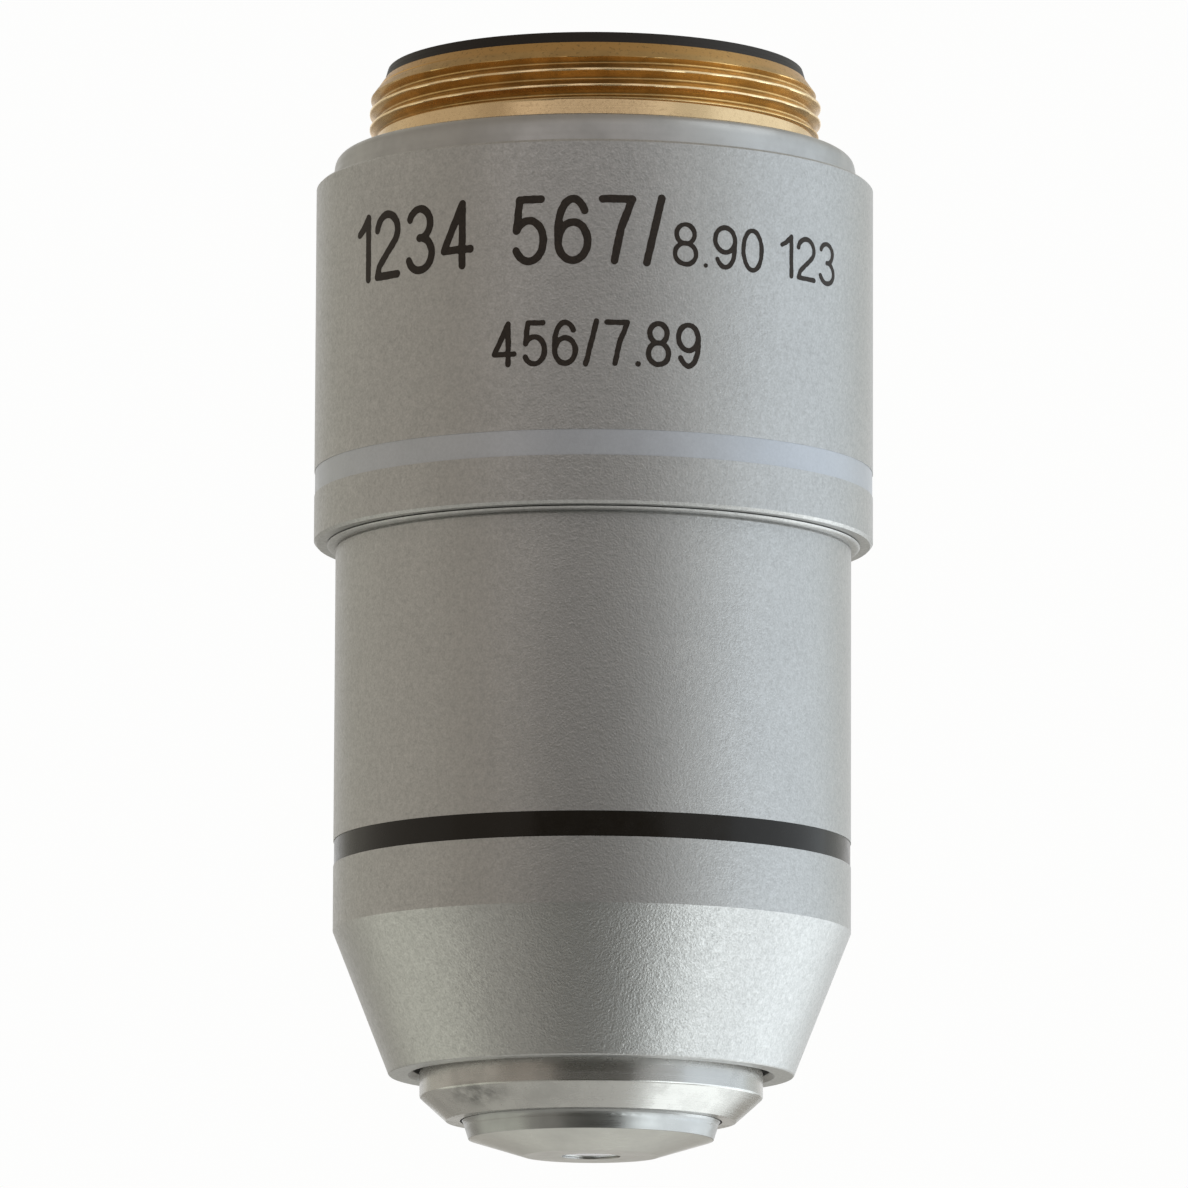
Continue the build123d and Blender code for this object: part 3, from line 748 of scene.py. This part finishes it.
def cover(field, xs, ys):
    """Points and faces that cover the grid where the field is less than 0, cut along its zero line."""
    points, places, faces = [], {}, []

    def point(key, x, y):
        if key not in places:
            places[key] = len(points)
            points.append((x, y))
        return places[key]

    for i in range(len(xs) - 1):
        for j in range(len(ys) - 1):
            corners = [(i, j), (i + 1, j), (i + 1, j + 1), (i, j + 1)]
            ring = []
            for k, here in enumerate(corners):
                there = corners[(k + 1) % 4]
                inside = field[here] < 0
                if inside:
                    ring.append(point(here, xs[here[0]], ys[here[1]]))
                if inside != (field[there] < 0):
                    first, last = sorted((here, there))
                    part = field[first] / (field[first] - field[last])
                    part = min(max(part, least_cut), 1 - least_cut)
                    x = xs[first[0]] + part * (xs[last[0]] - xs[first[0]])
                    y = ys[first[1]] + part * (ys[last[1]] - ys[first[1]])
                    ring.append(point((first, last), x, y))
            if ring:
                faces.append(ring)
    return points, faces


def wrapped(points, surface, radius):
    """Points of an unrolled surface put back round the axis, at a radius; 0 across is the front."""
    angles = [x / surface - pi / 2 for x, y in points]
    return [(radius * cos(a), radius * sin(a), y) for a, (x, y) in zip(angles, points)]


def thin_solid(patches, base, count):
    """Faces of a thin solid: outer patches, the same inner ones count points on, and the rim."""
    faces = [[base + i for i in patch] for patch in patches]
    faces += [[base + count + i for i in reversed(patch)] for patch in patches]
    sides = {(patch[k - 1], patch[k]) for patch in patches for k in range(len(patch))}
    for a, b in sorted(sides):
        if (b, a) not in sides:
            faces.append([base + b, base + a, base + count + a, base + count + b])
    return faces


def numerals(name, text, start, end, baseline, height, stroke, material):
    """Thin closed figures wrapped on the upper sleeve, between two arc lengths from the front."""
    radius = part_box("upper_sleeve")[1].x
    shapes = [figure_strokes(figure) for figure in text]
    natural = sum(width for width, strokes in shapes) + figure_gap * (len(shapes) - 1)
    unit = (end - start) / natural
    step = stroke / cells_per_stroke
    ys = numpy.arange(baseline - margin_up * step, baseline + height + (margin_up + 1) * step, step)
    vertices, faces = [], []
    left = start
    for width, strokes in shapes:
        right = left + width * unit
        xs = numpy.arange(left - margin_across * step, right + (margin_across + 1) * step, step)
        placed = place_strokes(strokes, left, baseline, width * unit, height, stroke)
        points, patches = cover(stroke_field(placed, stroke / 2, xs, ys), xs, ys)
        faces += thin_solid(patches, len(vertices), len(points))
        vertices += wrapped(points, radius, radius + letter_lift)
        vertices += wrapped(points, radius, radius - letter_lift)
        left += (width + figure_gap) * unit
    return mesh_object(name, vertices, faces, material, False)


def camera():
    forward = Vector((0, cos(camera_pitch), sin(camera_pitch)))
    up = Vector((0, -sin(camera_pitch), cos(camera_pitch)))
    right = Vector((1, 0, 0))
    eye = Vector((0, 0, aim_height)) - forward * camera_distance
    eye += right * camera_shift_right + up * camera_shift_up
    rolled_right = right * cos(camera_roll) + up * sin(camera_roll)
    rolled_up = up * cos(camera_roll) - right * sin(camera_roll)
    data = bpy.data.cameras.new("camera")
    data.sensor_fit = "HORIZONTAL"
    data.sensor_width = sensor_width
    data.lens = sensor_width * focal_pixels / image_pixels
    data.clip_start = clip_near
    data.clip_end = clip_far
    made = bpy.data.objects.new("camera", data)
    columns = Matrix((rolled_right, rolled_up, -forward)).transposed().to_4x4()
    columns.translation = eye
    made.matrix_world = columns
    bpy.context.scene.collection.objects.link(made)
    bpy.context.scene.camera = made


def softbox(name, azimuth, elevation, distance, width, height, radiance):
    """Rectangular lamp that faces the objective. Azimuth is from the camera's side towards +X."""
    a, e = radians(azimuth), radians(elevation)
    away = Vector((sin(a) * cos(e), -cos(a) * cos(e), sin(e)))
    level = max(radiance)
    data = bpy.data.lights.new(name, "AREA")
    data.shape = "RECTANGLE"
    data.size = width
    data.size_y = height
    data.energy = level * pi * width * height
    data.color = shade(radiance, 1 / level)
    made = bpy.data.objects.new(name, data)
    made.rotation_mode = "QUATERNION"
    made.rotation_quaternion = away.to_track_quat("Z", "Y")
    made.location = Vector((0, 0, aim_height)) + away * distance
    made.visible_camera = False
    bpy.context.scene.collection.objects.link(made)


def room():
    """White backdrop in a grey room that is brighter to the right and behind.

    The camera and glass see the backdrop on every side. Metal sees it behind the objective, where
    it stands, and the grey room elsewhere.
    """
    world = bpy.data.worlds.new("studio")
    bpy.context.scene.world = world
    world.use_nodes = True
    tree = world.node_tree
    rays = add(tree, "ShaderNodeLightPath")
    direction = add(tree, "ShaderNodeTexCoord").outputs["Generated"]
    x, y, z = add(tree, "ShaderNodeSeparateXYZ", {0: direction}).outputs
    walls = room_level
    for side, level in ((x, room_right), (y, room_back)):
        reach = spread(tree, side, side_reach, interpolation_type="SMOOTHSTEP")
        walls = vector_calc(tree, "MULTIPLY_ADD", {0: reach, 1: level, 2: walls})
    behind = spread(tree, y, backdrop_reach, interpolation_type="SMOOTHSTEP")
    behind = calc(tree, "MULTIPLY", rays.outputs["Is Glossy Ray"], behind)
    seen = calc(tree, "MAXIMUM", rays.outputs["Is Camera Ray"], rays.outputs["Is Transmission Ray"])
    seen = calc(tree, "MAXIMUM", seen, behind)
    join(tree, blend_colours(tree, seen, walls, backdrop), tree.nodes["Background"], "Color")


def stage_material(name, colour):
    """Matt paint without a shine."""
    material, tree, shader = new_material(name)
    shader.inputs["Base Color"].default_value = (*colour, 1)
    shader.inputs["Roughness"].default_value = stage_roughness
    shader.inputs["Specular IOR Level"].default_value = 0.0
    return material


def pale_floor():
    """Floor that can't be seen from below."""
    material = stage_material("pale_floor", floor_colour)
    tree = material.node_tree
    paint = tree.nodes["Principled BSDF"].outputs[0]
    clear = add(tree, "ShaderNodeBsdfTransparent").outputs[0]
    below = add(tree, "ShaderNodeNewGeometry").outputs["Backfacing"]
    mixer = add(tree, "ShaderNodeMixShader", {0: below, 1: paint, 2: clear})
    join(tree, mixer.outputs[0], tree.nodes["Material Output"], "Surface")
    low, high = -floor_size / 2, floor_size / 2
    corners = [(x, y, floor_height) for x, y in ((low, low), (high, low), (high, high), (low, high))]
    mesh_object("floor", corners, [(0, 1, 2, 3)], material, False)


def dark_card():
    """Card that stands in for the camera, and that only reflections show."""
    material = stage_material("dark_card", card_colour)
    corners = [
        (card_left, -card_distance, floor_height),
        (card_right, -card_distance, floor_height),
        (card_right, -card_distance, card_top),
        (card_left, -card_distance, card_top),
    ]
    card = mesh_object("dark_card", corners, [(0, 1, 2, 3)], material, False)
    card.visible_camera = False
    card.visible_diffuse = False
    card.visible_transmission = False
    card.visible_shadow = False


def dress_solids(finishes):
    """Gives the solids of the frame their finishes."""
    for finish, nodes in solids.items():
        for node in nodes:
            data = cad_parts[node].data
            data.materials.clear()
            data.materials.append(finishes[finish])


def add_pieces(finishes):
    """Thread, rounded edges, spring and numerals, which take a solid's place or lie on one."""
    ring = threaded_ring(finishes["bare_brass"])
    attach(ring, "housing")
    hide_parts("thread_ring")

    edge = plain_ring("flange_edge", flange_outline, finishes["machined_chrome"])
    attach(edge, "housing")

    edge = plain_ring("collar_edge", collar_outline, finishes["satin_chrome"])
    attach(edge, "housing")

    spring = coil_spring(finishes["spring_steel"])
    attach(spring, "housing")
    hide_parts("return_spring")
    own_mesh(spring)

    for name, figures, *sizes in figure_rows:
        line = numerals(name, figures, *(size * MM for size in sizes), finishes["numeral_paint"])
        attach(line, "housing")


room()
pale_floor()
dark_card()
for lamp in lamps:
    softbox(*lamp)
camera()
finishes = make_finishes()
dress_solids(finishes)
add_pieces(finishes)

bpy.context.scene.view_settings.view_transform = "Standard"
